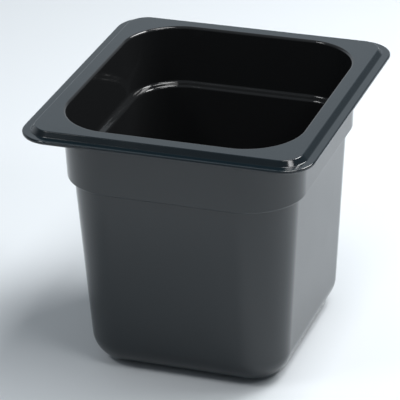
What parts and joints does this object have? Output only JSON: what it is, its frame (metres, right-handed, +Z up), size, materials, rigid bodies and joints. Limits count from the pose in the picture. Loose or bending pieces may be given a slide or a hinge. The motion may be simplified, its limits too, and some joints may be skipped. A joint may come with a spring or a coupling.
{
  "type": "food pan",
  "caption": "Deep rectangular food pan with rounded corners, a stepped collar, an inner ledge and a flat rim that hangs it in a counter well.",
  "frame": {"origin": "centre of the base, on the surface that the pan stands on", "axes": "+Z up out of the mouth; +X along the short side of the rim; +Y along the long side of the rim"},
  "size_m": [0.162, 0.176, 0.15],
  "materials": {
    "black_polycarbonate": "injection moulded, polished inside and a slightly softer gloss outside"
  },
  "bodies": {
    "root": {"food_pan": "black_polycarbonate"}
  },
  "joints": []
}
